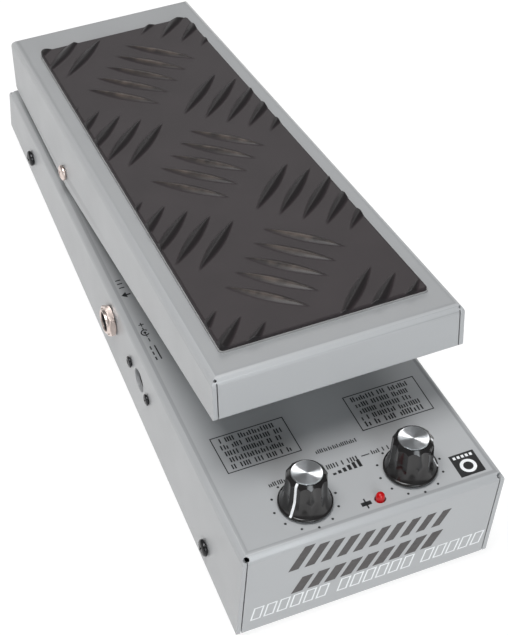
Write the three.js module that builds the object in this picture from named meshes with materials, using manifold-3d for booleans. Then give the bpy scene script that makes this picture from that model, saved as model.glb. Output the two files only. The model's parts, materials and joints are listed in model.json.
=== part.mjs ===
// Volume pedal: a wedge-shaped folded-steel chassis with a rocking treadle on top.
// Millimetres, +Z up. The toe end with the control knobs faces -Y, the heel end faces +Y.
// The origin is on the floor, under the middle of the pedal's outer box.
import * as THREE from 'three';
import { mergeVertices } from 'three/addons/utils/BufferGeometryUtils.js';
import Module from 'manifold-3d';

const wasm = await Module();
wasm.setup();

// ---- driving dimensions ----
const SHEET = 1.5;               // steel sheet of the chassis and the treadle
const FOLD = 3.0;                // outer radius of a folded edge
const GAP = 0.3;                 // clearance between pieces that touch
const SEAM = 0.4;                // open seam between two folded flanges
const RELIEF = 1.1;              // radius of the relief hole at a folded corner of the chassis
const NOTCH = 0.5;               // radius of the relief hole at a folded corner of the treadle

const FOOT_HEIGHT = 3.0;
const BASE_WIDTH = 90;           // at the toe end
const BASE_LENGTH = 244.5;
const TAPER = 0.0295;            // both sides draw in by this much per millimetre towards the heel
const TAPER_ANGLE = Math.atan(TAPER);
const TOE_HEIGHT = 42.4;         // chassis height at the toe end, without the feet
const HEEL_HEIGHT = 18.8;        // chassis height at the heel end
const DECK_PITCH = Math.atan((TOE_HEIGHT - HEEL_HEIGHT) / BASE_LENGTH);

const TREADLE_WIDTH = 84.4;      // at the toe end
const TREADLE_TOE = 152;         // from the pivot to the treadle's toe end
const TREADLE_HEEL = 61.5;       // from the pivot to the treadle's heel end
const TREADLE_RISE = 21.8;       // from the pivot up to the treadle's top face
const SKIRT_DROP = 5.8;          // from the pivot down to both lower edges of the skirt
const HEEL_ANGLE = THREE.MathUtils.degToRad(6.1);   // treadle top against the heel edge
const TOE_ANGLE = THREE.MathUtils.degToRad(4.3);    // treadle top against the toe edge

const PIVOT_ALONG = 180.3;       // pivot axis, measured along the deck from the toe edge
const PIVOT_HEIGHT = 9.3;        // pivot axis above the deck
const MAT_WIDTH = 69.8;          // at the toe end
const MAT_LENGTH = 186.5;
const MAT_MARGIN = 10.6;         // bare metal at the toe end of the mat
const MAT_THICK = 2.8;           // with its raised bars

const KNOB_X = 18.2;             // knobs sit left and right of the middle line
const KNOB_ALONG = 13.7;
const JACK = { along: 121.5, height: 19 };          // input and output jacks
const POWER = { along: 93.3, height: 18.7, screwPitch: 17.4 };
const SIDE_SCREW = { height: 9.3, toe: 28.6, heel: 215.3 };
const BOTTOM_SHEET = 1.2;
const LIGHT = { x: 4.0, along: 6.3 };
const ARM_TOE = 56;              // magnet arm, measured from the pivot towards the toe
const ARM_SLOT = { along: 124.3, length: 10, width: 14 };
const BRACKET_HALF = 34.6;       // pivot bracket, from the middle to an ear's outer face

// ---- materials ----
const finish = (color, roughness, metalness) =>
  new THREE.MeshStandardMaterial({ color, roughness, metalness });
const MATERIALS = {
  paint: finish(0xa9adb2, 0.42, 0.15),
  plate: finish(0x8d9094, 0.45, 0.6),
  rubber: finish(0x2a2727, 0.8, 0),
  knob: finish(0x101011, 0.22, 0),
  cap: finish(0xd4d5d6, 0.28, 1),
  nickel: finish(0xc9c0b8, 0.22, 1),
  blackScrew: finish(0x17171a, 0.45, 0.6),
  redLens: finish(0xb01217, 0.15, 0),
  board: finish(0x1d5a3a, 0.5, 0),
  plastic: finish(0x161617, 0.5, 0),
  nylon: finish(0xe6e2d6, 0.5, 0),
  battery: finish(0x4c5157, 0.4, 0.3),
  magnet: finish(0x9a9da1, 0.3, 1)
};

// ---- helpers: geometry ----
// A closed outline from [x, y] or [x, y, radius] corners; a radius rounds its corner.
function roundedShape(corners) {
  const shape = new THREE.Shape();
  corners.forEach((corner, index) => {
    const here = new THREE.Vector2(corner[0], corner[1]);
    const radius = corner[2] ?? 0;
    const before = corners[(index + corners.length - 1) % corners.length];
    const after = corners[(index + 1) % corners.length];
    const back = new THREE.Vector2(before[0], before[1]).sub(here).normalize();
    const ahead = new THREE.Vector2(after[0], after[1]).sub(here).normalize();
    const start = here.clone();
    if (radius > 0) {
      const half = Math.acos(back.dot(ahead)) / 2;
      const reach = radius / Math.tan(half);
      start.addScaledVector(back, reach);
      const end = here.clone().addScaledVector(ahead, reach);
      const middle = back.clone().add(ahead).normalize();
      const centre = here.clone().addScaledVector(middle, radius / Math.sin(half));
      const from = Math.atan2(start.y - centre.y, start.x - centre.x);
      const to = Math.atan2(end.y - centre.y, end.x - centre.x);
      const clockwise = back.cross(ahead) > 0;
      shape[index ? 'lineTo' : 'moveTo'](start.x, start.y);
      shape.absarc(centre.x, centre.y, radius, from, to, clockwise);
    } else {
      shape[index ? 'lineTo' : 'moveTo'](here.x, here.y);
    }
  });
  shape.closePath();
  return shape;
}

const extrude = (shape, depth, segments) =>
  new THREE.ExtrudeGeometry(shape, { depth, bevelEnabled: false, curveSegments: segments });

// Extrudes a Y-Z outline along X, from x0 to x1.
function extrudeAlongX(shape, x0, x1, segments = 4) {
  const geometry = extrude(shape, x1 - x0, segments);
  const turn = new THREE.Matrix4().set(0, 0, 1, x0, 1, 0, 0, 0, 0, 1, 0, 0, 0, 0, 0, 1);
  return geometry.applyMatrix4(turn);
}

// Extrudes an X-Z outline along Y, from y0 to y1.
function extrudeAlongY(shape, y0, y1, segments = 4) {
  const geometry = extrude(shape, y1 - y0, segments);
  return geometry.rotateX(Math.PI / 2).translate(0, y1, 0);
}

// Extrudes an X-Y outline along Z, from z0 to z1.
function extrudeAlongZ(shape, z0, z1, segments = 4) {
  return extrude(shape, z1 - z0, segments).translate(0, 0, z0);
}

// Draws both halves of a piece in towards the middle line, starting from full width at y = start.
function tapered(geometry, start = 0) {
  const at = geometry.attributes.position;
  for (let i = 0; i < at.count; i += 1) {
    at.setX(i, at.getX(i) - Math.sign(at.getX(i)) * TAPER * (at.getY(i) - start));
  }
  return geometry;
}

function box(x0, x1, y0, y1, z0, z1) {
  const geometry = new THREE.BoxGeometry(x1 - x0, y1 - y0, z1 - z0);
  return geometry.translate((x0 + x1) / 2, (y0 + y1) / 2, (z0 + z1) / 2);
}

// A turned piece: [radius, height] pairs, from the lower axis point to the upper one.
function turned(profile, sides = 16) {
  const points = profile.map(([r, z]) => new THREE.Vector2(r, z));
  return new THREE.LatheGeometry(points, sides).rotateX(Math.PI / 2);
}

// A round bar along Z, from z0 to z1.
const bar = (radius, z0, z1, sides = 16) => turned([[0, z0], [radius, z0], [radius, z1], [0, z1]], sides);

// A hexagonal nut along Z with a round hole; corner is the radius over its corners.
function hexNut(corner, hole, z0, z1) {
  return geometryOf(cut(solid(bar(corner, z0, z1, 6)), bar(hole, z0 - 1, z1 + 1, 16)));
}

// Turns a piece made along +Z so that it points along -X (side -1) or +X (side 1).
const towardsSide = (geometry, side) => geometry.rotateY(side * Math.PI / 2);

// ---- helpers: solids ----
function solid(geometry) {
  const bare = geometry.index ? geometry.toNonIndexed() : geometry.clone();
  bare.deleteAttribute('normal');
  bare.deleteAttribute('uv');
  const merged = mergeVertices(bare, 1e-4);
  const mesh = new wasm.Mesh({
    numProp: 3,
    vertProperties: new Float32Array(merged.attributes.position.array),
    triVerts: new Uint32Array(merged.index.array)
  });
  return new wasm.Manifold(mesh);
}

function cut(body, ...tools) {
  return tools.reduce((rest, tool) => rest.subtract(solid(tool)), body);
}

function join(...geometries) {
  return geometries.map(solid).reduce((whole, piece) => whole.add(piece));
}

function geometryOf(manifold) {
  const mesh = manifold.getMesh();
  const geometry = new THREE.BufferGeometry();
  geometry.setAttribute('position', new THREE.BufferAttribute(new Float32Array(mesh.vertProperties), 3));
  geometry.setIndex(new THREE.BufferAttribute(new Uint32Array(mesh.triVerts), 1));
  return geometry;
}

// ---- scene graph: one group per reference frame ----
const pedal = new THREE.Group();

// The base frame: y runs from the toe face, z from the chassis's lower edge.
const base = new THREE.Group();
base.position.set(0, -BASE_LENGTH / 2, FOOT_HEIGHT);
pedal.add(base);

// The deck frame lies on the sloping top plate: y along the plate from the toe edge, z out of it.
const deck = new THREE.Group();
deck.position.set(0, 0, TOE_HEIGHT);
deck.rotation.x = -DECK_PITCH;
base.add(deck);

// The rocker frame has its origin on the pivot axis and its y along the treadle's top face.
const rocker = new THREE.Group();
rocker.position.set(0, PIVOT_ALONG, PIVOT_HEIGHT);
rocker.rotation.x = -HEEL_ANGLE;
deck.add(rocker);

// Each wall frame lies on a side wall's outer face: y along the wall from the toe, x square to it.
const SIDES = [['left', -1], ['right', 1]];
const walls = {};
for (const [name, side] of SIDES) {
  walls[name] = new THREE.Group();
  walls[name].position.set(side * BASE_WIDTH / 2, 0, 0);
  walls[name].rotation.z = side * TAPER_ANGLE;
  base.add(walls[name]);
}

function add(parent, name, shape, material, x = 0, y = 0, z = 0) {
  const geometry = shape.isBufferGeometry ? shape : geometryOf(shape);
  const mesh = new THREE.Mesh(geometry, material);
  mesh.name = name;
  mesh.position.set(x, y, z);
  parent.add(mesh);
  return mesh;
}

// ---- folded sheet ----
const deckHeightAt = (y, offset = 0) => TOE_HEIGHT - y * Math.tan(DECK_PITCH) - offset / Math.cos(DECK_PITCH);

// The wedge that the chassis sheet wraps, shrunk by an inset and reaching down to z = floor.
function wedge(inset, floor) {
  const fold = FOLD - inset;
  const half = BASE_WIDTH / 2 - inset;
  const heel = BASE_LENGTH - inset;
  const side = roundedShape([
    [inset, floor], [heel, floor],
    [heel, deckHeightAt(heel, inset), fold], [inset, deckHeightAt(inset, inset), fold]
  ]);
  const section = roundedShape([[-half, -90], [half, -90], [half, -inset, fold], [-half, -inset, fold]]);
  const across = extrudeAlongY(section, -20, BASE_LENGTH + 20);
  tapered(across.rotateX(-DECK_PITCH).translate(0, 0, TOE_HEIGHT));
  return solid(extrudeAlongX(side, -60, 60)).intersect(solid(across));
}

// Cuts the open seam and the relief hole at one folded corner of a tray.
function openCorner(body, side, end, halfWidth, endY, topZ, lowZ, relief) {
  const outer = halfWidth - SHEET + 0.05;
  const inner = outer - SEAM;
  const seamX = side < 0 ? [-outer, -inner] : [inner, outer];
  const seamY = end < 0 ? [endY - 2, endY + SHEET + 0.2] : [endY - SHEET - 0.2, endY + 2];
  const seam = box(...seamX, ...seamY, lowZ, topZ - FOLD + 0.6);
  const hole = bar(relief, -6, 6, 12);
  hole.applyQuaternion(new THREE.Quaternion().setFromUnitVectors(
    new THREE.Vector3(0, 0, 1), new THREE.Vector3(side, end, 1.2).normalize()));
  hole.translate(side * (halfWidth - SHEET - 0.2), endY - end * 1.2, topZ - 1.5);
  return cut(body, seam, hole);
}

// A drill through one side wall, square to it.
function wallDrill(side, radius, along, height, sides) {
  const drill = towardsSide(bar(radius, -5, 5, sides), 1).translate(0, along, height);
  return drill.rotateZ(side * TAPER_ANGLE).translate(side * BASE_WIDTH / 2, 0, 0);
}

function chassis() {
  const heelHalf = BASE_WIDTH / 2 - TAPER * BASE_LENGTH;
  let body = wedge(0, 0).subtract(wedge(SHEET, -5));
  for (const [, side] of SIDES) {
    body = openCorner(body, side, -1, BASE_WIDTH / 2, 0, deckHeightAt(0), -1, RELIEF);
    body = openCorner(body, side, 1, heelHalf, BASE_LENGTH, deckHeightAt(BASE_LENGTH), -1, RELIEF);
    body = cut(body,
      wallDrill(side, 4.9, JACK.along, JACK.height, 20),
      wallDrill(side, 2.15, SIDE_SCREW.toe, SIDE_SCREW.height, 12),
      wallDrill(side, 2.15, SIDE_SCREW.heel, SIDE_SCREW.height, 12));
  }
  body = cut(body,
    wallDrill(-1, 4.3, POWER.along, POWER.height, 24),
    wallDrill(-1, 1.6, POWER.along - POWER.screwPitch / 2, POWER.height, 10),
    wallDrill(-1, 1.6, POWER.along + POWER.screwPitch / 2, POWER.height, 10));
  const onDeck = (geometry) => geometry.rotateX(-DECK_PITCH).translate(0, 0, TOE_HEIGHT);
  for (const [, side] of SIDES) {
    body = cut(body, onDeck(bar(3.7, -5, 5, 18).translate(side * KNOB_X, KNOB_ALONG, 0)));
    body = cut(body, onDeck(bar(1.8, -5, 5, 12).translate(side * 20, PIVOT_ALONG, 0)));
  }
  const slot = box(-ARM_SLOT.width / 2, ARM_SLOT.width / 2,
    ARM_SLOT.along - ARM_SLOT.length / 2, ARM_SLOT.along + ARM_SLOT.length / 2, -5, 5);
  return cut(body, onDeck(slot), onDeck(bar(1.85, -5, 5, 14).translate(LIGHT.x, LIGHT.along, 0)));
}

// The tray that the treadle sheet wraps, in the rocker frame; deep adds depth below the skirt.
function tray(inset, open) {
  const fold = FOLD - inset;
  const half = TREADLE_WIDTH / 2 - inset;
  const toe = -TREADLE_TOE + inset;
  const heel = TREADLE_HEEL - inset;
  const top = TREADLE_RISE - inset;
  const toeDrop = (y) => -SKIRT_DROP / Math.cos(TOE_ANGLE) - y * Math.tan(TOE_ANGLE);
  const heelDrop = (y) => -SKIRT_DROP / Math.cos(HEEL_ANGLE) + y * Math.tan(HEEL_ANGLE);
  const lower = open
    ? [[toe, -60], [heel, -60]]
    : [[toe, toeDrop(toe), 1], [0, toeDrop(0), SKIRT_DROP], [heel, heelDrop(heel), 1]];
  const side = roundedShape([...lower, [heel, top, fold], [toe, top, fold]]);
  const section = roundedShape([[-half, -90], [half, -90], [half, top, fold], [-half, top, fold]]);
  const along = tapered(extrudeAlongY(section, -TREADLE_TOE - 10, TREADLE_HEEL + 10), -TREADLE_TOE);
  return solid(extrudeAlongX(side, -60, 60)).intersect(solid(along));
}

// Half the treadle's width at a distance from the pivot, negative towards the toe.
const treadleHalfAt = (y) => TREADLE_WIDTH / 2 - TAPER * (y + TREADLE_TOE);

function treadle() {
  let body = tray(0, false).subtract(tray(SHEET, true));
  for (const [, side] of SIDES) {
    for (const [end, y] of [[-1, -TREADLE_TOE], [1, TREADLE_HEEL]]) {
      body = openCorner(body, side, end, treadleHalfAt(y), y, TREADLE_RISE, -20, NOTCH);
    }
    body = cut(body, towardsSide(bar(2.7, -4, 4, 18), 1).translate(side * treadleHalfAt(0), 0, 0));
  }
  return body;
}

function bottomPlate() {
  const half = BASE_WIDTH / 2 - SHEET - 0.4;
  const inner = half - BOTTOM_SHEET;
  const end = SHEET + 0.4;
  const high = 12.6;
  const section = roundedShape([
    [-half, 0, 1.6], [half, 0, 1.6], [half, high], [inner, high], [inner, BOTTOM_SHEET, 0.5],
    [-inner, BOTTOM_SHEET, 0.5], [-inner, high], [-half, high]
  ]);
  let body = solid(tapered(extrudeAlongY(section, end, BASE_LENGTH - end, 3)));
  for (const [, side] of SIDES) {
    for (const along of [SIDE_SCREW.toe, SIDE_SCREW.heel]) {
      body = cut(body, wallDrill(side, 2.15, along, SIDE_SCREW.height, 12));
    }
    for (const [, x, y] of FEET) {
      body = cut(body, bar(1.9, -2, 4, 12).translate(side * x, y, 0));
    }
  }
  return body;
}

// ---- base: screws and feet ----
const FOOT_RADIUS = 7.5;
const FEET = [['toe', 34, 16], ['heel', 28, 229]];

// A domed pan-head screw along +Z: the head's seat is at z = 0 and the shank goes down.
const panScrew = (head, rise, shank, length, sides = 10) => turned([
  [0, -length], [shank, -length], [shank, 0], [head, 0], [head, rise * 0.45],
  [head * 0.8, rise * 0.85], [head * 0.4, rise], [0, rise]
], sides);

function addBase() {
  add(base, 'chassis', chassis(), MATERIALS.paint);
  add(base, 'bottom_plate', bottomPlate(), MATERIALS.plate);
  for (const [sideName, side] of SIDES) {
    for (const [endName, along] of [['toe', SIDE_SCREW.toe], ['heel', SIDE_SCREW.heel]]) {
      add(walls[sideName], `side_screw_${sideName}_${endName}`, towardsSide(panScrew(3.0, 1.6, 1.8, 6), side),
        MATERIALS.blackScrew, side * GAP, along, SIDE_SCREW.height);
    }
    for (const [endName, x, y] of FEET) {
      const foot = turned([
        [1.9, -GAP], [1.9, -1.4], [3.6, -1.4], [3.6, -FOOT_HEIGHT], [FOOT_RADIUS - 0.8, -FOOT_HEIGHT],
        [FOOT_RADIUS, -GAP], [1.9, -GAP]
      ], 14);
      add(base, `rubber_foot_${sideName}_${endName}`, foot, MATERIALS.rubber, side * x, y, 0);
      const screw = panScrew(3.1, 1.0, 1.5, 4.6).rotateX(Math.PI);
      add(base, `foot_screw_${sideName}_${endName}`, screw, MATERIALS.nickel, side * x, y, -1.7);
    }
  }
}

// ---- treadle and its pivot ----
function pivotBracket() {
  const crown = PIVOT_HEIGHT + 6.5;
  const ear = roundedShape([[-11, GAP], [11, GAP], [11, 3], [6.5, crown, 6.2], [-6.5, crown, 6.2], [-11, 3]]);
  const earSolid = (side) => {
    const x = side < 0 ? [-BRACKET_HALF, -BRACKET_HALF + 2] : [BRACKET_HALF - 2, BRACKET_HALF];
    return extrudeAlongX(ear, ...x, 4);
  };
  const web = box(-BRACKET_HALF + 0.5, BRACKET_HALF - 0.5, -11, 11, GAP, GAP + 2);
  let body = join(web, earSolid(-1), earSolid(1));
  for (const [, side] of SIDES) {
    body = cut(body,
      towardsSide(bar(2.0, -4, 4, 16), 1).translate(side * BRACKET_HALF, 0, PIVOT_HEIGHT),
      bar(1.8, -1, 4, 12).translate(side * 20, 0, 0));
  }
  return body;
}

function addPivot() {
  add(deck, 'pivot_bracket', pivotBracket(), MATERIALS.plate, 0, PIVOT_ALONG, 0);
  for (const [name, side] of SIDES) {
    const skirt = treadleHalfAt(0);
    // Nylon bush: its flange spaces the skirt off the ear and its sleeve lines the skirt's hole.
    const bush = turned([
      [2.0, -0.2], [2.0, -2.9], [4.6, -2.9], [4.6, -SHEET - GAP],
      [2.4, -SHEET - GAP], [2.4, -0.2], [2.0, -0.2]
    ], 12);
    add(rocker, `pivot_bush_${name}`, towardsSide(bush, side), MATERIALS.nylon, side * skirt, 0, 0);
    const screw = panScrew(2.9, 1.5, 1.65, 9.4, 14);
    add(deck, `pivot_screw_${name}`, towardsSide(screw, side), MATERIALS.nickel,
      side * (skirt + GAP), PIVOT_ALONG, PIVOT_HEIGHT);
    const nut = hexNut(3.6, 2.0, 0, 2.8);
    add(deck, `pivot_nut_${name}`, towardsSide(nut, side), MATERIALS.nickel,
      side * (BRACKET_HALF - 2 - GAP) - side * 2.8, PIVOT_ALONG, PIVOT_HEIGHT);
    add(deck, `bracket_screw_${name}`, panScrew(3.2, 1.7, 1.45, 6), MATERIALS.nickel,
      side * 20, PIVOT_ALONG, 2.3 + GAP);
  }
}

function treadMat() {
  const toeHalf = MAT_WIDTH / 2;
  const heelHalf = toeHalf - TAPER * MAT_LENGTH;
  const corner = 2.5;
  const outline = roundedShape([
    [-toeHalf, 0, corner], [toeHalf, 0, corner],
    [heelHalf, MAT_LENGTH, corner], [-heelHalf, MAT_LENGTH, corner]
  ]);
  return extrudeAlongZ(outline, 0, MAT_THICK);
}

function magnetArm() {
  const top = TREADLE_RISE - SHEET - GAP;
  const profile = roundedShape([
    [0, -22], [1.2, -22], [1.2, top - 1.2, 1], [13, top - 1.2], [13, top], [0, top, 1.6]
  ]);
  return extrudeAlongX(profile, -5, 5, 4);
}

function addTreadle() {
  add(rocker, 'treadle', treadle(), MATERIALS.paint);
  add(rocker, 'tread_mat', treadMat(), MATERIALS.rubber, 0, -TREADLE_TOE + MAT_MARGIN, TREADLE_RISE + 0.1);
  add(rocker, 'magnet_arm', magnetArm(), MATERIALS.plate, 0, -ARM_TOE, 0);
  const magnet = bar(3, GAP, 2 + GAP, 12).rotateX(-Math.PI / 2);
  add(rocker, 'magnet', magnet, MATERIALS.magnet, 0, -ARM_TOE + 1.2, -18.4);
}

// ---- rubber bumpers that stop the treadle at the toe and at the heel ----
const BUMPERS = [['toe', 66, 21.2, 7], ['heel', 226, 24.1, 6]];

function addBumpers() {
  for (const [endName, along, height, radius] of BUMPERS) {
    for (const [sideName, side] of SIDES) {
      const bumper = turned([
        [0, GAP], [radius, GAP], [radius, 3],
        [radius * 0.72, height - 1.5], [radius * 0.6, height], [0, height]
      ], 12);
      add(deck, `${endName}_bumper_${sideName}`, bumper, MATERIALS.rubber, side * 22, along, 0);
    }
  }
}

// ---- controls ----
const KNOB_HEIGHT = 14.7;
const KNOB_SEAT = 0.9;           // the skirt turns this far above the deck

// The grip's cross-section has shallow flutes all round.
function flutedOutline(radius, depth, flutes) {
  const shape = new THREE.Shape();
  const steps = flutes * 3;
  for (let step = 0; step < steps; step += 1) {
    const angle = step / steps * Math.PI * 2;
    const r = radius - depth * (0.5 - 0.5 * Math.cos(angle * flutes));
    shape[step ? 'lineTo' : 'moveTo'](r * Math.cos(angle), r * Math.sin(angle));
  }
  shape.closePath();
  return shape;
}

function knob() {
  const skirt = turned([
    [0, KNOB_SEAT], [8.75, KNOB_SEAT], [8.75, 1.9], [7.2, 3.6], [6.6, 5.0], [0, 5.0]
  ], 20);
  const grip = extrudeAlongZ(flutedOutline(6.5, 0.55, 14), 4, KNOB_HEIGHT - 0.6);
  return cut(join(skirt, grip),
    bar(3.75, -1, 11.5, 12),
    bar(5.25, KNOB_HEIGHT - 1.6, KNOB_HEIGHT + 2, 16),
    bar(5.8, -1, KNOB_SEAT + 2.2, 12));
}

function addControls() {
  for (const [name, side] of SIDES) {
    const x = side * KNOB_X;
    // Potentiometer: a can under the deck with a threaded bush through it.
    const pot = turned([
      [0, -9.8], [8, -9.8], [8, -2.4], [4.2, -2.4], [4.2, -SHEET - GAP], [3.3, -SHEET - GAP],
      [3.3, 4], [1.9, 4], [1.9, -3.2], [0, -3.2]
    ], 16);
    add(deck, `potentiometer_${name}`, pot, MATERIALS.magnet, x, KNOB_ALONG, 0);
    const nut = hexNut(5.3, 3.6, GAP, 2.2);
    add(deck, `pot_nut_${name}`, nut, MATERIALS.nickel, x, KNOB_ALONG, 0);
    add(deck, `pot_shaft_${name}`, bar(1.6, -2.9, 4.6, 12), MATERIALS.nylon, x, KNOB_ALONG, 0);
    add(deck, `knob_${name}`, knob(), MATERIALS.knob, x, KNOB_ALONG, 0);
    const cap = turned([
      [0, -1.3], [4.9, -1.3], [4.9, -0.2], [4.6, 0], [0, -0.25]
    ], 16);
    add(deck, `knob_cap_${name}`, cap, MATERIALS.cap, x, KNOB_ALONG, KNOB_HEIGHT);
  }
  const led = turned([
    [0, -6], [1.5, -6], [1.5, 1.3], [1.3, 2.0], [0.7, 2.5], [0, 2.7]
  ], 12);
  add(deck, 'indicator_light', led, MATERIALS.redLens, LIGHT.x, LIGHT.along, 0);
  add(deck, 'control_board', box(-30, 30, 3.5, 26, -11.8, -10.2), MATERIALS.board);
}

// ---- sockets on the side walls ----
function jackBody() {
  // Made along +Z, the outward direction, with z = 0 on the wall's outer face.
  const inner = -SHEET - GAP;
  const body = join(box(-6.1, 6.1, -7.2, 7.2, -23, inner), bar(4.6, -10, 3.2, 18));
  return cut(body, bar(3.25, -21, 5, 18));
}

function powerSocket() {
  const inner = -SHEET - GAP;
  const flange = roundedShape([[-6, -13, 3], [6, -13, 3], [6, 13, 3], [-6, 13, 3]]);
  let body = join(extrudeAlongZ(flange, inner - 1.5, inner, 3), bar(5.6, -14, inner, 16));
  body = cut(body, bar(3.2, -12, 2, 14));
  body = body.add(solid(bar(1.0, -12.5, inner - 0.6, 8)));
  for (const along of [-POWER.screwPitch / 2, POWER.screwPitch / 2]) {
    body = cut(body, bar(1.6, -5, 2, 10).translate(0, along, 0));
  }
  return body;
}

function addSockets() {
  for (const [name, sideName, side] of [['input', 'left', -1], ['output', 'right', 1]]) {
    const body = towardsSide(geometryOf(jackBody()), side);
    add(walls[sideName], `${name}_jack`, body, MATERIALS.nickel, 0, JACK.along, JACK.height);
    const nut = hexNut(6.35, 4.9, GAP, 2.4);
    add(walls[sideName], `${name}_jack_nut`, towardsSide(nut, side), MATERIALS.nickel,
      0, JACK.along, JACK.height);
  }
  const socket = towardsSide(geometryOf(powerSocket()), -1);
  add(walls.left, 'power_socket', socket, MATERIALS.plastic, 0, POWER.along, POWER.height);
  for (const [name, end] of [['toe', -1], ['heel', 1]]) {
    add(walls.left, `power_screw_${name}`, towardsSide(panScrew(2.1, 0.9, 1.2, 5), -1), MATERIALS.blackScrew,
      -GAP, POWER.along + end * POWER.screwPitch / 2, POWER.height);
  }
}

// ---- electronics inside ----
function addElectronics() {
  const boardTop = -9.6;
  add(deck, 'main_board', box(-26, 28, 48, 104, boardTop - 1.6, boardTop), MATERIALS.board);
  for (const [sideName, side] of SIDES) {
    for (const [endName, along] of [['toe', 52], ['heel', 100]]) {
      const standoff = bar(2.5, boardTop + GAP, -SHEET - GAP, 6);
      add(deck, `standoff_${sideName}_${endName}`, standoff, MATERIALS.nickel, 1 + side * 22, along, 0);
    }
  }
  const sensorAlong = 133.1;
  add(deck, 'sensor_board', box(-9, 9, sensorAlong, sensorAlong + 1.6, -22, -4), MATERIALS.board);
  const bracketTop = -SHEET - GAP;
  const bracket = roundedShape([
    [0, -18], [1.2, -18], [1.2, bracketTop - 1.2, 0.6],
    [12, bracketTop - 1.2], [12, bracketTop], [0, bracketTop]
  ]);
  add(deck, 'sensor_bracket', extrudeAlongX(bracket, -7, 7, 3), MATERIALS.plate,
    0, sensorAlong + 1.6 + GAP, 0);

  const batteryAlong = 198;
  const shell = roundedShape([[-13, 0, 2], [13, 0, 2], [13, 17, 2], [-13, 17, 2]]);
  const batteryLow = BOTTOM_SHEET + 1.3;
  add(base, 'battery', extrudeAlongX(shell, -24, 22), MATERIALS.battery, 0, batteryAlong, batteryLow);
  const snap = roundedShape([[-12, 1], [12, 1], [12, 16], [-12, 16]]);
  add(base, 'battery_snap', extrudeAlongX(snap, 22 + GAP, 25.5), MATERIALS.plastic,
    0, batteryAlong, batteryLow);
  const clipOut = roundedShape([[-14.5, 0], [14.5, 0], [14.5, 14], [-14.5, 14]]);
  const clipIn = roundedShape([[-13.4, 0.9], [13.4, 0.9], [13.4, 20], [-13.4, 20]]);
  const clip = solid(extrudeAlongX(clipOut, -8, 6)).subtract(solid(extrudeAlongX(clipIn, -9, 7)));
  add(base, 'battery_clip', clip, MATERIALS.plate, 0, batteryAlong, BOTTOM_SHEET + GAP);
}

addBase();
addTreadle();
addPivot();
addBumpers();
addControls();
addSockets();
addElectronics();

export default pedal;
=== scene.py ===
"""Looks of the volume pedal: fine folded shells, tread mat, knobs, hardware, printed marks, light and camera.

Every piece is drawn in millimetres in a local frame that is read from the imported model, then laid in the row
frame in metres: DECK lies on the sloping top plate, ROCKER on the treadle, BASE on the chassis's lower edge.
"""
import json
import math
import random

import bmesh
import bpy
import numpy as np
from mathutils import Matrix, Vector


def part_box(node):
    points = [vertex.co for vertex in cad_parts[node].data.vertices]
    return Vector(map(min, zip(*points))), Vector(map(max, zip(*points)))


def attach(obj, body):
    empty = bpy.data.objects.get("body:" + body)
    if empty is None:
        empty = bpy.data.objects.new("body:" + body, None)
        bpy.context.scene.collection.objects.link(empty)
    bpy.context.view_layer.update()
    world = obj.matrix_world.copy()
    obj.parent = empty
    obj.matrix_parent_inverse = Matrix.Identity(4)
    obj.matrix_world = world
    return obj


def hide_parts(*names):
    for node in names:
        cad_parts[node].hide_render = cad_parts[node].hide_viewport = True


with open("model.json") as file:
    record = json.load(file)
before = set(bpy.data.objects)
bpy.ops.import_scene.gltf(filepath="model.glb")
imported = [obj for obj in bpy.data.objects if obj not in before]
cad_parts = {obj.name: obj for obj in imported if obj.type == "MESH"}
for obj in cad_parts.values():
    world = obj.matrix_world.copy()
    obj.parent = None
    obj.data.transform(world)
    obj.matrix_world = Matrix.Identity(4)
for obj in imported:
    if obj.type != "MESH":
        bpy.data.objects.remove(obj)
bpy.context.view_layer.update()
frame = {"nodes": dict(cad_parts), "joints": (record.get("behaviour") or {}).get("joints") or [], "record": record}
NODES = frame["nodes"]
JOINTS = {joint["name"]: joint for joint in frame["joints"]}
MOUNTS = {mount["name"]: mount for mount in frame["record"]["mounts"]}
SIDES = (("left", -1), ("right", 1))
ENDS = ("toe", "heel")
MM = 0.001


# ---- local frames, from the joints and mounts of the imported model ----
def local_frame(origin, along, out):
    """Turns millimetres with y = along and z = out into metres in the row frame."""
    y = Vector(along).normalized()
    z = Vector(out).normalized()
    turn = Matrix((y.cross(z), y, z)).transposed().to_4x4()
    return Matrix.Translation(Vector(origin)) @ turn @ Matrix.Scale(MM, 4)


def lying_along(normal):
    """The heelward direction on a plane with this normal."""
    return (0.0, normal[2], -normal[1])


def span(node, place):
    """A CAD node's lowest and highest corners in a local frame, in millimetres."""
    inside = place.inverted()
    points = np.array([inside @ vertex.co for vertex in NODES[node].data.vertices])
    return points.min(axis=0), points.max(axis=0)


CHASSIS_LOW, CHASSIS_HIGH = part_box("chassis")
BASE = local_frame((0, CHASSIS_LOW.y, CHASSIS_LOW.z), (0, 1, 0), (0, 0, 1))
KNOB_POINTS = [Vector(JOINTS[f"knob_{side}_turn"]["pos_m"]) for side, _ in SIDES]
DECK_NORMAL = JOINTS["knob_left_turn"]["axis"]
DECK_PITCH = math.atan2(DECK_NORMAL[1], DECK_NORMAL[2])
# The toe edge of the deck is where its plane meets the chassis's front face.
KNOB_MIDDLE = (KNOB_POINTS[0] + KNOB_POINTS[1]) / 2
KNOB_ALONG = (KNOB_MIDDLE.y - CHASSIS_LOW.y) / math.cos(DECK_PITCH) / MM
DECK_ORIGIN = KNOB_MIDDLE - Vector(lying_along(DECK_NORMAL)) * KNOB_ALONG * MM
DECK = local_frame(DECK_ORIGIN, lying_along(DECK_NORMAL), DECK_NORMAL)
TREAD_NORMAL = MOUNTS["shoe_rest"]["axis"]
ROCKER = local_frame(JOINTS["treadle_rock"]["pos_m"], lying_along(TREAD_NORMAL), TREAD_NORMAL)
KNOB_X = KNOB_POINTS[1].x / MM

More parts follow.
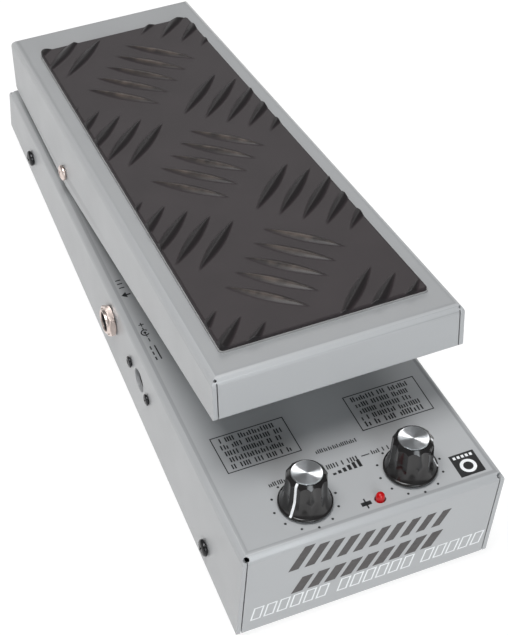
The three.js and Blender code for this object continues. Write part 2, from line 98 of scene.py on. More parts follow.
# ---- sheet metal ----
SHEET = 1.5
FOLD = 3.0                     # outer radius of a folded edge
FOLD_STEPS = 20
SEAM = 0.4
RELIEF = 0.95                  # radius of the relief hole at a folded corner of the chassis
NOTCH = 0.5                    # radius of the same hole on the treadle
EDGE = 0.06                    # softening of cut sheet edges
STRIP = 0.3                    # faces narrower than this belong to a fold
WALL_AXIS = MOUNTS["output_jack_face"]["axis"]
TAPER = WALL_AXIS[1] / WALL_AXIS[0]
BASE_HALF = CHASSIS_HIGH.x / MM
BASE_LENGTH = (CHASSIS_HIGH.y - CHASSIS_LOW.y) / MM
TOE_HEIGHT = (DECK_ORIGIN.z - CHASSIS_LOW.z) / MM


# ---- mesh helpers ----
def new_object(name, mesh):
    """A linked object for a mesh."""
    made = bpy.data.objects.new(name, mesh)
    bpy.context.scene.collection.objects.link(made)
    return made


def from_lists(name, points, faces):
    """A mesh object with its normals made to face outwards."""
    mesh = bpy.data.meshes.new(name)
    mesh.from_pydata([tuple(map(float, point)) for point in points], [], faces)
    work = bmesh.new()
    work.from_mesh(mesh)
    bmesh.ops.recalc_face_normals(work, faces=work.faces)
    work.to_mesh(mesh)
    work.free()
    return new_object(name, mesh)


def rounded(corners, steps=FOLD_STEPS):
    """Points of a closed outline from (x, y) or (x, y, radius) corners."""
    outline = []
    for index, corner in enumerate(corners):
        here = Vector(corner[:2])
        radius = corner[2] if len(corner) > 2 else 0
        if not radius:
            outline.append(here)
            continue
        back = (Vector(corners[index - 1][:2]) - here).normalized()
        ahead = (Vector(corners[(index + 1) % len(corners)][:2]) - here).normalized()
        half = math.acos(max(-1, min(1, back.dot(ahead)))) / 2
        middle = (back + ahead).normalized()
        centre = here + middle * radius / math.sin(half)
        start = here + back * radius / math.tan(half) - centre
        end = here + ahead * radius / math.tan(half) - centre
        turn = math.atan2(start.x * end.y - start.y * end.x, start.dot(end))
        for step in range(steps + 1):
            angle = turn * step / steps
            c, s = math.cos(angle), math.sin(angle)
            outline.append(centre + Vector((start.x * c - start.y * s, start.x * s + start.y * c)))
    return outline


def prism(name, outline, low, high, axes="xyz"):
    """An outline drawn on the first two axes and drawn out along the third, from low to high."""
    order = ["xyz".index(letter) for letter in axes]
    points = []
    for level in (low, high):
        for at in outline:
            point = [0, 0, 0]
            for value, axis in zip((at[0], at[1], level), order):
                point[axis] = value
            points.append(point)
    count = len(outline)
    faces = [tuple(range(count))[::-1], tuple(range(count, 2 * count))]
    faces += [(i, (i + 1) % count, (i + 1) % count + count, i + count) for i in range(count)]
    return from_lists(name, points, faces)


def block(name, low, high):
    """A plain cutting block between two corners."""
    return prism(name, [(low[0], low[1]), (high[0], low[1]), (high[0], high[1]), (low[0], high[1])],
                 low[2], high[2])


def turned(name, profile, sides=48):
    """A turned piece from (radius, height) pairs; it closes on the axis or on itself."""
    points = []
    rings = []
    for radius, height in profile:
        if radius < 1e-6:
            rings.append([len(points)] * sides)
            points.append((0, 0, height))
            continue
        rings.append(list(range(len(points), len(points) + sides)))
        for step in range(sides):
            angle = 2 * math.pi * step / sides
            points.append((radius * math.cos(angle), radius * math.sin(angle), height))
    on_axis = profile[0][0] < 1e-6
    pairs = list(zip(rings, rings[1:])) if on_axis else list(zip(rings, rings[1:] + rings[:1]))
    faces = []
    for lower, upper in pairs:
        for step in range(sides):
            following = (step + 1) % sides
            corners = [lower[step], lower[following], upper[following], upper[step]]
            face = tuple(dict.fromkeys(corners))
            if len(face) > 2:
                faces.append(face)
    return from_lists(name, points, faces)


def bored(name, radius, low, high, sides=48):
    """A round cutting bar along z."""
    return turned(name, [(0, low), (radius, low), (radius, high), (0, high)], sides)


def move(made, matrix):
    """Moves a mesh's own vertices."""
    made.data.transform(matrix)
    return made


def settle(made):
    """Makes an object's modifiers part of its mesh."""
    graph = bpy.context.evaluated_depsgraph_get()
    mesh = bpy.data.meshes.new_from_object(made.evaluated_get(graph))
    made.modifiers.clear()
    made.data = mesh
    return made


def combine(made, tool, operation):
    """Cuts, joins or keeps the overlap of two closed meshes, and removes the tool."""
    modifier = made.modifiers.new("combine", "BOOLEAN")
    modifier.object = tool
    modifier.operation = operation
    modifier.solver = "EXACT"
    settle(made)
    bpy.data.objects.remove(tool)
    return made


def cut(made, *tools):
    """Cuts each tool out of a mesh."""
    for tool in tools:
        combine(made, tool, "DIFFERENCE")
    return made


def merged(name, pieces):
    """Several separate closed solids as one object."""
    work = bmesh.new()
    for piece in pieces:
        work.from_mesh(piece.data)
        bpy.data.objects.remove(piece)
    mesh = bpy.data.meshes.new(name)
    work.to_mesh(mesh)
    work.free()
    return new_object(name, mesh)


def soften(made, width, segments=2, sharp=35):
    """Rounds a piece's sharp edges."""
    modifier = made.modifiers.new("edges", "BEVEL")
    modifier.width = width
    modifier.segments = segments
    modifier.limit_method = "ANGLE"
    modifier.angle_limit = math.radians(sharp)
    return settle(made)


def crease(made, narrow, sharp=30):
    """Marks edges for shading: faces wider than narrow stay flat, narrower strips shade as one surface."""
    work = bmesh.new()
    work.from_mesh(made.data)
    broad = {}
    for face in work.faces:
        face.smooth = True
        longest = max(edge.calc_length() for edge in face.edges)
        broad[face] = face.calc_area() / longest > narrow
    for edge in work.edges:
        turn = edge.calc_face_angle(0.0)
        beside_flat = any(broad[face] for face in edge.link_faces)
        limit = math.radians(0.3 if beside_flat else sharp)
        edge.smooth = turn < limit
    work.to_mesh(made.data)
    work.free()


def finish_piece(made, place, body, material, replaces=(), smooth=30):
    """Lays a piece in the row frame, shades it, and gives it its body, finish and CAD nodes."""
    made.data.transform(place)
    made.data.materials.clear()
    made.data.materials.append(material)
    if smooth:
        made.data.polygons.foreach_set("use_smooth", [True] * len(made.data.polygons))
        made.data.set_sharp_from_angle(angle=math.radians(smooth))
        weighted = made.modifiers.new("normals", "WEIGHTED_NORMAL")
        weighted.keep_sharp = True
        weighted.weight = 80
    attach(made, body)
    if replaces:
        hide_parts(*replaces)
    return made


# ---- materials ----
def put(node, values):
    """Sets a node's own sockets."""
    for socket, value in values.items():
        node.inputs[socket].default_value = value


def node_material(name, colour, roughness, metallic=0.0):
    """A material with its shader, object coordinates, and a function that adds a noise texture."""
    made = bpy.data.materials.new(name)
    made.use_nodes = True
    nodes = made.node_tree.nodes
    links = made.node_tree.links
    shader = nodes["Principled BSDF"]
    put(shader, {"Base Color": (*colour, 1), "Roughness": roughness, "Metallic": metallic})
    made.diffuse_color = (*colour, 1)
    place = nodes.new("ShaderNodeTexCoord").outputs["Object"]

    def noise(scale, detail=3.0, stretch=(1, 1, 1)):
        mapping = nodes.new("ShaderNodeMapping")
        put(mapping, {"Scale": stretch})
        links.new(place, mapping.inputs["Vector"])
        texture = nodes.new("ShaderNodeTexNoise")
        put(texture, {"Scale": scale, "Detail": detail})
        links.new(mapping.outputs["Vector"], texture.inputs["Vector"])
        return texture.outputs["Fac"]

    return made, nodes, links, shader, noise


def spread(nodes, links, value, low, high, start=0.3, end=0.7):
    """Maps a noise value to a range."""
    ranged = nodes.new("ShaderNodeMapRange")
    put(ranged, {"From Min": start, "From Max": end, "To Min": low, "To Max": high})
    links.new(value, ranged.inputs["Value"])
    return ranged.outputs["Result"]


def mixed(nodes, links, factor, first, second):
    """Mixes two colours by a factor; a colour may be a socket."""
    mix = nodes.new("ShaderNodeMix")
    mix.data_type = "RGBA"
    links.new(factor, mix.inputs["Factor"])
    for socket, value in (("A", first), ("B", second)):
        target = [i for i in mix.inputs if i.name == socket and i.type == "RGBA"][0]
        if isinstance(value, bpy.types.NodeSocket):
            links.new(value, target)
        else:
            target.default_value = (*value, 1)
    return [o for o in mix.outputs if o.type == "RGBA"][0]


def textured(name, colour, roughness, metallic=0.0, variation=0.08, patch=90.0, grain=1800.0,
             depth=0.02, rough_spread=0.06, stretch=(1, 1, 1)):
    """A finish with soft colour patches, uneven gloss and a fine surface grain."""
    made, nodes, links, shader, noise = node_material(name, colour, roughness, metallic)
    dark = [channel * (1 - variation) for channel in colour]
    light = [min(1.0, channel * (1 + variation)) for channel in colour]
    patches = spread(nodes, links, noise(patch), 0, 1)
    links.new(mixed(nodes, links, patches, dark, light), shader.inputs["Base Color"])
    uneven = spread(nodes, links, noise(patch * 2.3), roughness - rough_spread, roughness + rough_spread)
    links.new(uneven, shader.inputs["Roughness"])
    bump = nodes.new("ShaderNodeBump")
    put(bump, {"Strength": 1.0, "Distance": depth * MM})
    links.new(noise(grain, 4.0, stretch), bump.inputs["Height"])
    links.new(bump.outputs["Normal"], shader.inputs["Normal"])
    return made, nodes, links, shader, noise


def paint_material():
    """Satin grey stoved paint with a light orange-peel surface, paler on its edges: partly rubbed, partly a
    painted highlight along folds and cut edges.
    """
    made, nodes, links, shader, _ = textured(
        "satin_grey_paint", (0.318, 0.324, 0.331), 0.38, variation=0.02, patch=25, grain=900,
        depth=0.010, rough_spread=0.04)
    put(shader, {"Specular IOR Level": 0.5, "Coat Weight": 0.15, "Coat Roughness": 0.3})
    base = shader.inputs["Base Color"].links[0].from_socket
    # Painted highlight: convex edges and folds get a paler grey, which also stands for paint rubbed thin there.
    point = nodes.new("ShaderNodeNewGeometry").outputs["Pointiness"]
    edge = spread(nodes, links, point, 0, 0.35, 0.53, 0.62)
    links.new(mixed(nodes, links, edge, base, (0.6, 0.61, 0.62)), shader.inputs["Base Color"])
    return made


def mat_material():
    """Moulded rubber: warm grey, the bars painted darker as the shade on their flanks, and a brown scuff on the
    crests where shoes rub, which is also painted light on the middle bars.
    """
    made, nodes, links, shader, noise = textured(
        "tread_rubber", (0.029, 0.0225, 0.0245), 0.42, variation=0.10, patch=60, grain=2600,
        depth=0.012, rough_spread=0.05)
    put(shader, {"Specular IOR Level": 0.34})
    base = shader.inputs["Base Color"].links[0].from_socket
    # Painted shade: the raised bars are mixed towards near black, standing in for the shade on their flanks.
    bar = nodes.new("ShaderNodeAttribute")
    bar.attribute_name = "bar"
    bar_painted_shade = spread(nodes, links, bar.outputs["Fac"], 0, 0.85, 0.02, 0.35)
    base = mixed(nodes, links, bar_painted_shade, base, (0.011, 0.0095, 0.010))
    # Brown scuff on the bar crests, strongest on the middle group: partly shoe rubbing, partly painted light that
    # lightens the middle bars as lit and leaves the outer bars dark as shaded.
    crest = nodes.new("ShaderNodeAttribute")
    crest.attribute_name = "wear_and_light"
    scuff_and_light_mix = nodes.new("ShaderNodeMath")
    scuff_and_light_mix.operation = "MULTIPLY"
    links.new(spread(nodes, links, crest.outputs["Fac"], 0, 1, 0.12, 0.8), scuff_and_light_mix.inputs[0])
    links.new(spread(nodes, links, noise(240, 5.0), 0.1, 0.9, 0.35, 0.65), scuff_and_light_mix.inputs[1])
    scuff_and_light = scuff_and_light_mix.outputs["Value"]
    links.new(mixed(nodes, links, scuff_and_light, base, (0.105, 0.082, 0.070)), shader.inputs["Base Color"])
    links.new(spread(nodes, links, scuff_and_light, 0.42, 0.34, 0.0, 1.0), shader.inputs["Roughness"])
    return made


def lens_material():
    """Clear red plastic with a lit core."""
    made, _, _, shader, _ = textured(
        "red_lens", (0.38, 0.002, 0.005), 0.12, variation=0.1, patch=500, grain=3000, depth=0.0005,
        rough_spread=0.03)
    put(shader, {"Emission Color": (1.0, 0.02, 0.02, 1), "Emission Strength": 0.12})
    return made


def cap_material():
    """Spun aluminium: fine rings round the axis spread each light into a radial streak."""
    made, nodes, links, shader, _ = textured(
        "spun_aluminium", (0.86, 0.87, 0.88), 0.40, metallic=1.0, variation=0.03, patch=400,
        grain=5000, depth=0.0003, rough_spread=0.02)
    put(shader, {"Anisotropic": 1.0})
    tangent = nodes.new("ShaderNodeTangent")
    tangent.direction_type = "RADIAL"
    tangent.axis = "Z"
    links.new(tangent.outputs["Tangent"], shader.inputs["Tangent"])
    return made


def simple(*settings, **details):
    """Only the material of a textured finish."""
    return textured(*settings, **details)[0]


PAINT = paint_material()
MAT = mat_material()
LENS = lens_material()
CAP = cap_material()
KNOB = simple("knob_plastic", (0.013, 0.012, 0.012), 0.14, variation=0.2, grain=1500, depth=0.001)
SCREW = simple("black_oxide", (0.035, 0.035, 0.037), 0.26, 0.8, variation=0.25, patch=300, depth=0.002)
NICKEL = simple("nickel_plate", (0.74, 0.63, 0.58), 0.36, 1.0, variation=0.06, patch=200, depth=0.001)
PLATE = simple("zinc_plate", (0.55, 0.56, 0.57), 0.36, 1.0, variation=0.12, patch=60, depth=0.01,
               stretch=(1, 0.15, 1))
RUBBER = simple("plain_rubber", (0.022, 0.021, 0.021), 0.7, variation=0.2, patch=150, depth=0.03)
PLASTIC = simple("black_plastic", (0.02, 0.02, 0.021), 0.45, variation=0.2, patch=150, depth=0.02)
NYLON = simple("nylon", (0.80, 0.77, 0.70), 0.45, variation=0.05, patch=150, depth=0.01)
# Painted highlight: the pale grey of the bead round the mat.
HIGHLIGHT_BEAD_PLASTIC = simple("adhesive_bead", (0.30, 0.30, 0.30), 0.4, variation=0.1, patch=200, depth=0.01)
BOARD = simple("circuit_board", (0.03, 0.16, 0.08), 0.4, variation=0.3, patch=500, depth=0.03)
BATTERY = simple("battery_case", (0.16, 0.17, 0.19), 0.35, 0.4, variation=0.15, patch=120)
MAGNET = simple("magnet_plate", (0.6, 0.61, 0.62), 0.25, 1.0, variation=0.08, patch=300, depth=0.001)
INK = simple("black_ink", (0.012, 0.012, 0.013), 0.45, variation=0.2, patch=400, depth=0.004)
GREY_INK = simple("dark_grey_ink", (0.055, 0.048, 0.048), 0.5, variation=0.08, patch=300, depth=0.004)
WHITE_INK = simple("white_ink", (0.86, 0.87, 0.88), 0.45, variation=0.03, patch=300, depth=0.004)


# ---- folded shells ----
def folded(name, outer, inner):
    """A folded tray: the overlap of two outer prisms, less the overlap of two inner ones."""
    shell = combine(outer[0], outer[1], "INTERSECT")
    hollow = combine(inner[0], inner[1], "INTERSECT")
    cut(shell, hollow)
    shell.name = name
    return shell


def draw_in(made, start):
    """Draws both halves of a piece in towards the middle line, from full width at y = start."""
    for vertex in made.data.vertices:
        vertex.co.x -= math.copysign(1, vertex.co.x) * TAPER * (vertex.co.y - start)
    return made


def corner_tools(side, end, half, end_y, top, low, relief):
    """The open seam and the relief hole at one folded corner."""
    outer = half - SHEET + 0.05
    x = sorted((side * outer, side * (outer - SEAM)))
    y = sorted((end_y + end * 2, end_y - end * (SHEET + 0.2)))
    seam = block("seam", (x[0], y[0], low), (x[1], y[1], top - FOLD + 1.2))
    hole = bored("relief", relief, -6, 6, 24)
    direction = Vector((side, end, 1.2)).normalized()
    turn = Vector((0, 0, 1)).rotation_difference(direction).to_matrix().to_4x4()
    at = Matrix.Translation((side * (half - SHEET - 0.2), end_y - end * 1.2, top - 1.5))
    return seam, move(hole, at @ turn)


def deck_height(y, offset=0.0):
    """Height of the deck, or of a plane below it, over the chassis's lower edge."""
    return TOE_HEIGHT - y * math.tan(DECK_PITCH) - offset / math.cos(DECK_PITCH)


def wedge(inset, floor):
    """The two prisms whose overlap is the chassis's outer shape, shrunk by an inset."""
    fold = FOLD - inset
    half = BASE_HALF - inset
    heel = BASE_LENGTH - inset
    side = rounded([(inset, floor), (heel, floor), (heel, deck_height(heel, inset), fold),
                    (inset, deck_height(inset, inset), fold)])
    section = rounded([(-half, -90), (half, -90), (half, -inset, fold), (-half, -inset, fold)])
    across = prism("across", section, -20, BASE_LENGTH + 20, "xzy")
    move(across, BASE.inverted() @ DECK)
    return prism("side", side, -60, 60, "yzx"), draw_in(across, 0)


def wall_place(side):
    """The frame of a side wall's outer face at its toe end: z points out of the wall and y up."""
    axis = Vector(wall_axis(side))
    origin = Vector((side * CHASSIS_HIGH.x, CHASSIS_LOW.y, CHASSIS_LOW.z))
    return local_frame(origin, (0, 0, 1), axis)


def wall_axis(side):
    """Outward direction of a side wall."""
    return MOUNTS["input_jack_face" if side < 0 else "output_jack_face"]["axis"]


def middle_of(node, place):
    """The shift from a sheet's frame to the middle of a node that sits in it."""
    low, high = span(node, place)
    return Matrix.Translation(((low[0] + high[0]) / 2, (low[1] + high[1]) / 2, 0))


def sheet_hole(node, place, radius, sides=48):
    """A cutting bar through a sheet where a node sits."""
    drill = move(bored("drill", radius, -5, 5, sides), middle_of(node, place))
    return move(drill, BASE.inverted() @ place)


JACK_HOLE = 4.9
POWER_HOLE = 4.3
SCREW_HOLE = 2.15
POWER_SCREW_HOLE = 1.6
POT_HOLE = 3.7
LIGHT_HOLE = 1.85
BRACKET_HOLE = 1.8
ARM_SLOT = (14, 10)            # width and length of the opening for the magnet arm
ARM_SLOT_TOEWARD = 8.8         # its middle's distance from the sensor board's toe edge


def build_chassis():
    """The painted wedge: one folded sheet with open seams, socket holes and the magnet arm's slot."""
    shell = folded("chassis_shell", wedge(0, 0), wedge(SHEET, -5))
    heel_half = BASE_HALF - TAPER * BASE_LENGTH
    for side_name, side in SIDES:
        cut(shell, *corner_tools(side, -1, BASE_HALF, 0, deck_height(0), -1, RELIEF))
        cut(shell, *corner_tools(side, 1, heel_half, BASE_LENGTH, deck_height(BASE_LENGTH), -1,
                                 RELIEF))
        jack = "input_jack" if side < 0 else "output_jack"
        cut(shell, sheet_hole(jack, wall_place(side), JACK_HOLE))
        for end in ENDS:
            cut(shell, sheet_hole(f"side_screw_{side_name}_{end}", wall_place(side), SCREW_HOLE))
        cut(shell, sheet_hole(f"potentiometer_{side_name}", DECK, POT_HOLE))
        cut(shell, sheet_hole(f"bracket_screw_{side_name}", DECK, BRACKET_HOLE, 24))
    cut(shell, sheet_hole("power_socket", wall_place(-1), POWER_HOLE))
    cut(shell, sheet_hole("indicator_light", DECK, LIGHT_HOLE))
    for end in ENDS:
        cut(shell, sheet_hole(f"power_screw_{end}", wall_place(-1), POWER_SCREW_HOLE))
    middle = span("sensor_board", DECK)[0][1] - ARM_SLOT_TOEWARD
    slot = block("slot", (-ARM_SLOT[0] / 2, middle - ARM_SLOT[1] / 2, -5),
                 (ARM_SLOT[0] / 2, middle + ARM_SLOT[1] / 2, 5))
    cut(shell, move(slot, BASE.inverted() @ DECK))
    soften(shell, EDGE)
    crease(shell, STRIP)
    return finish_piece(shell, BASE, "base", PAINT, ("chassis",), smooth=None)


TREADLE_LOW, TREADLE_HIGH = span("treadle", ROCKER)
TREADLE_HALF = TREADLE_HIGH[0]
SKIRT_DROP = 5.8               # from the pivot down to both lower edges of the skirt
HEEL_ANGLE = math.acos(max(-1, min(1, Vector(TREAD_NORMAL).dot(Vector(DECK_NORMAL)))))
TOE_ANGLE = math.radians(4.3)
SKIRT_HOLE = 2.7


def tray(inset, is_open):
    """The two prisms whose overlap is the treadle's outer shape, shrunk by an inset."""
    fold = FOLD - inset
    half = TREADLE_HALF - inset
    toe = TREADLE_LOW[1] + inset
    heel = TREADLE_HIGH[1] - inset
    top = TREADLE_HIGH[2] - inset
    if is_open:
        lower = [(toe, -60), (heel, -60)]
    else:
        at_toe = -SKIRT_DROP / math.cos(TOE_ANGLE) - toe * math.tan(TOE_ANGLE)
        at_heel = -SKIRT_DROP / math.cos(HEEL_ANGLE) + heel * math.tan(HEEL_ANGLE)
        middle = -SKIRT_DROP / math.cos(TOE_ANGLE)
        lower = [(toe, at_toe, 1), (0, middle, SKIRT_DROP), (heel, at_heel, 1)]
    side = rounded([*lower, (heel, top, fold), (toe, top, fold)])
    section = rounded([(-half, -90), (half, -90), (half, top, fold), (-half, top, fold)])
    along = prism("along", section, TREADLE_LOW[1] - 10, TREADLE_HIGH[1] + 10, "xzy")
    return prism("side", side, -60, 60, "yzx"), draw_in(along, TREADLE_LOW[1])


def treadle_half(y):
    """Half the treadle's width at a distance from the pivot."""
    return TREADLE_HALF - TAPER * (y - TREADLE_LOW[1])


def build_treadle():
    """The rocking tray under the mat."""
    shell = folded("treadle_shell", tray(0, False), tray(SHEET, True))
    for _, side in SIDES:
        for end, end_y in ((-1, TREADLE_LOW[1]), (1, TREADLE_HIGH[1])):
            tools = corner_tools(side, end, treadle_half(end_y), end_y, TREADLE_HIGH[2], -20, NOTCH)
            cut(shell, *tools)
        drill = bored("drill", SKIRT_HOLE, -4, 4)
        drill = move(drill, Matrix.Rotation(math.pi / 2, 4, "Y"))
        cut(shell, move(drill, Matrix.Translation((side * treadle_half(0), 0, 0))))
    soften(shell, EDGE)
    crease(shell, STRIP)
    return finish_piece(shell, ROCKER, "rocker", PAINT, ("treadle",), smooth=None)


# ---- tread mat ----
MAT_LOW, MAT_HIGH = span("tread_mat", ROCKER)
MAT_LENGTH = MAT_HIGH[1] - MAT_LOW[1]
MAT_HALF = MAT_HIGH[0]
MAT_CORNER = 1.2
MAT_EDGE = 0.45                # rounding of the mat's upper edge
MAT_PLATE = 1.8                # thickness between the bars
CELL = 0.36                    # spacing of the moulded surface
PERIOD = 63.47                 # the tread repeats along the mat
STEP = 5.713                   # between two bars of a group, across and along
BAR_REACH = 20.68              # a bar's length across and along, as it lies at 45 degrees
BAR_HALF = 2.1
BARS_IN_GROUP = 5
MIDDLE_WEAR_AND_LIGHT = 1.0              # how strongly the middle and outer groups get the brown scuff: partly shoe rubbing, partly painted light, lighter on the lit middle bars and kept dark on the shaded outer bars
OUTER_WEAR_AND_LIGHT = 0.12
BEAD = 0.4                     # a pale bead, a painted highlight along the mat's edge, shows this far past the mat
BEAD_HIGH = 0.45
# First bar's start (across, along from the toe edge of the treadle), its direction, and its neighbours' side.
GROUPS = (((0.32, 187.66), (1, -1), -1, range(0, 3)),
          ((-28.66, 155.31), (-1, -1), 1, range(-1, 3)),
          ((23.44, 154.56), (-1, -1), 1, range(-1, 3)))


def tread_bars():
    """Start, end and share of brown scuff and painted light of each raised bar, in the mat's own millimetres from
    its toe edge.
    """
    shift = MAT_LOW[1] - TREADLE_LOW[1]
    bars = []
    for (across, along), (dx, dy), aside, repeats in GROUPS:
        for repeat in repeats:
            for place in range(BARS_IN_GROUP):
                x = across + aside * STEP * place
                y = along - PERIOD * repeat - STEP * place - shift
                # Painted light by direction: the middle bars get the full brown scuff and look lit, while the
                # outer bars keep their painted shade.
                scuff_and_light = MIDDLE_WEAR_AND_LIGHT if dx > 0 else OUTER_WEAR_AND_LIGHT
                bars.append(((x, y), (x + dx * BAR_REACH, y + dy * BAR_REACH), scuff_and_light))
    return bars


def ridge(x, y, start, end):
    """Height, from 0 to 1, of one pointed bar at points x, y."""
    start = np.array(start)
    run = np.array(end) - start
    length = np.hypot(*run)
    run = run / length
    at = (x - start[0]) * run[0] + (y - start[1]) * run[1]
    off = (x - start[0]) * run[1] - (y - start[1]) * run[0]
    share = np.clip(at / length, 0, 1)
    half = BAR_HALF * (1 - np.abs(2 * share - 1) ** 1.8)
    inside = np.clip(1 - np.abs(off) / np.maximum(half, 1e-6), 0, 1)
    height = (half / BAR_HALF) ** 0.8 * inside
    return np.where((at > 0) & (at < length), height, 0)


def build_mat():
    """The rubber mat as one closed sheet with pointed bars in crossed groups of five."""
    rows = int(MAT_LENGTH / CELL) + 1
    columns = int(2 * MAT_HALF / CELL) + 1
    y = np.linspace(0, MAT_LENGTH, rows)
    corner = MAT_CORNER * (1 - np.cos(np.linspace(0, math.pi / 2, 9)))
    rims = [MAT_EDGE * 0.3, MAT_LENGTH - MAT_EDGE * 0.3]
    y = np.unique(np.concatenate([y, corner, MAT_LENGTH - corner, rims]))
    rows = len(y)
    half = MAT_HALF - TAPER * y
    near = np.clip(MAT_CORNER - np.minimum(y, MAT_LENGTH - y), 0, MAT_CORNER)
    half = half - (MAT_CORNER - np.sqrt(MAT_CORNER ** 2 - near ** 2))
    share = np.linspace(-1, 1, columns)
    x = share[None, :] * half[:, None]
    y = np.repeat(y[:, None], columns, axis=1)
    crest = np.zeros_like(x)
    wear_and_light = np.zeros_like(x)
    for start, end, scuff_and_light in tread_bars():
        bar = ridge(x, y, start, end)
        crest = np.maximum(crest, bar)
        wear_and_light = np.maximum(wear_and_light, bar * scuff_and_light)
    thick = MAT_HIGH[2] - MAT_LOW[2]
    rise = thick - MAT_PLATE
    z = MAT_PLATE + rise * (1 - (1 - crest) ** 1.35)
    # The upper edge rolls over: points near the rim sit lower.
    edge = np.minimum(half[:, None] - np.abs(x), np.minimum(y, MAT_LENGTH - y))
    lack = np.clip(MAT_EDGE - edge, 0, MAT_EDGE)
    z = z - (MAT_EDGE - np.sqrt(MAT_EDGE ** 2 - lack ** 2)) * 0.9
    top = np.stack([x, y, z], axis=-1).reshape(-1, 3)
    index = np.arange(rows * columns).reshape(rows, columns)
    faces = np.stack([index[:-1, :-1], index[:-1, 1:], index[1:, 1:], index[1:, :-1]], axis=-1)
    faces = [tuple(face) for face in faces.reshape(-1, 4).tolist()]
    rim = [*index[0, :], *index[1:, -1], *index[-1, -2::-1], *index[-2:0:-1, 0]]
    lower = {}
    points = top.tolist()
    for vertex in rim:
        lower[vertex] = len(points)
        points.append([points[vertex][0], points[vertex][1], 0.0])
    for first, second in zip(rim, rim[1:] + rim[:1]):
        faces.append((int(second), int(first), lower[first], lower[second]))
    faces.append(tuple(lower[vertex] for vertex in rim))
    mat = from_lists("tread_mat_rubber", points, faces)
    # Point fields for the rubber: bar height, which paints the bars darker as shade, and brown scuff with painted
    # light.
    for name, field in (("wear_and_light", wear_and_light), ("bar", crest)):
        values = np.zeros(len(points), np.float32)
        values[:field.size] = field.reshape(-1)
        mat.data.attributes.new(name, "FLOAT", "POINT").data.foreach_set("value", values)
    place = ROCKER @ Matrix.Translation((0, MAT_LOW[1], MAT_LOW[2]))
    finish_piece(mat, place, "rocker", MAT, ("tread_mat",), smooth=50)
    # Painted highlight: a thin pale slab round the mat stands for the light line on its edge.
    bead = combine(mat_outline(BEAD), mat_outline(-0.3), "DIFFERENCE")
    bead.name = "tread_mat_highlight_bead"
    finish_piece(bead, place, "rocker", HIGHLIGHT_BEAD_PLASTIC)


def mat_outline(grown):
    """The mat's outline, grown all round, as a thin slab."""
    toe = MAT_HALF + grown
    heel = MAT_HALF - TAPER * MAT_LENGTH + grown
    corner = MAT_CORNER + grown
    over = 0.2 if grown < 0 else 0
    outline = rounded([(-toe, -grown, corner), (toe, -grown, corner), (heel, MAT_LENGTH + grown, corner),
                       (-heel, MAT_LENGTH + grown, corner)])
    return prism("slab", outline, -0.12 - over, BEAD_HIGH + over)


# ---- turned hardware ----
def axis_frame(node, axis, along=None):
    """The frame of a turned node: z along its axis from its lower end, and its radius and length."""
    axis = Vector(axis).normalized()
    along = Vector(along) if along else axis.orthogonal()
    flat = local_frame((0, 0, 0), along, axis)
    low, high = span(node, flat)
    place = flat @ Matrix.Translation(((low[0] + high[0]) / 2, (low[1] + high[1]) / 2, low[2]))
    return place, (high[0] - low[0]) / 2, high[2] - low[2]


def phillips(size, top, depth):
    """A cross-shaped driver, wide at the top and pointed below."""
    arms = []
    for turn in (0, 90):
        half = size * 0.16
        outline = [(-size, top + 1), (-size * 0.95, top - depth * 0.35), (-size * 0.25, top - depth),
                   (size * 0.25, top - depth), (size * 0.95, top - depth * 0.35), (size, top + 1)]
        arm = prism("arm", outline, -half, half, "xzy")
        arms.append(move(arm, Matrix.Rotation(math.radians(turn), 4, "Z")))
    return arms


def pan_screw(node, axis, shank, rise, material, body="base", turn=0):
    """A domed cross-head screw in place of its plain node."""
    place, radius, length = axis_frame(node, axis)
    seat = length - rise
    profile = [(0, 0), (shank * 0.7, 0), (shank, 0.5), (shank, seat), (radius - 0.15, seat),
               (radius, seat + 0.15)]
    steps = 9
    for step in range(steps + 1):
        angle = math.pi / 2 * step / steps
        profile.append((radius * math.cos(angle) ** 0.75, seat + rise * (0.38 + 0.62 * math.sin(angle))))
    profile[-1] = (0, length)
    screw = turned(f"{node}_head", profile, 40)
    for arm in phillips(radius * 0.56, length, rise * 0.75):
        cut(screw, move(arm, Matrix.Rotation(math.radians(turn), 4, "Z")))
    return finish_piece(screw, place, body, material, (node,), smooth=35)


def hex_nut(node, axis, bore, material=None, turn=0.0):
    """A hexagonal nut with chamfered corners in place of its plain node."""
    place, _, length = axis_frame(node, axis)
    _, high = span(node, place)
    radius = max(high[0], high[1])
    corners = [math.radians(60 * k + turn) for k in range(6)]
    nut = prism(f"{node}_hex", [(radius * math.cos(a), radius * math.sin(a)) for a in corners], 0, length)
    chamfer = radius * 0.13
    lens = turned("lens", [(0, -0.01), (radius - chamfer, -0.01), (radius + 0.05, chamfer * 0.6),
                           (radius + 0.05, length - chamfer * 0.6), (radius - chamfer, length + 0.01),
                           (0, length + 0.01)], 60)
    combine(nut, lens, "INTERSECT")
    cut(nut, bored("bore", bore, -1, length + 1))
    soften(nut, 0.08)
    return finish_piece(nut, place, "base", material or NICKEL, (node,))


def build_fasteners():
    """Every screw and nut that shows."""
    for side_name, side in SIDES:
        for count, end in enumerate(ENDS):
            pan_screw(f"side_screw_{side_name}_{end}", wall_axis(side), 1.8, 1.6, SCREW,
                      turn=20 + 50 * count)
            pan_screw(f"foot_screw_{side_name}_{end}", (0, 0, -1), 1.5, 1.0, NICKEL, turn=15)
        pan_screw(f"pivot_screw_{side_name}", (side, 0, 0), 1.65, 1.5, NICKEL, turn=30)
        pan_screw(f"bracket_screw_{side_name}", DECK_NORMAL, 1.45, 1.7, NICKEL, turn=5)
        hex_nut(f"pivot_nut_{side_name}", (side, 0, 0), 2.0)
        hex_nut(f"pot_nut_{side_name}", DECK_NORMAL, 3.6)
    for count, end in enumerate(ENDS):
        pan_screw(f"power_screw_{end}", wall_axis(-1), 1.2, 0.9, SCREW, turn=40 * count)


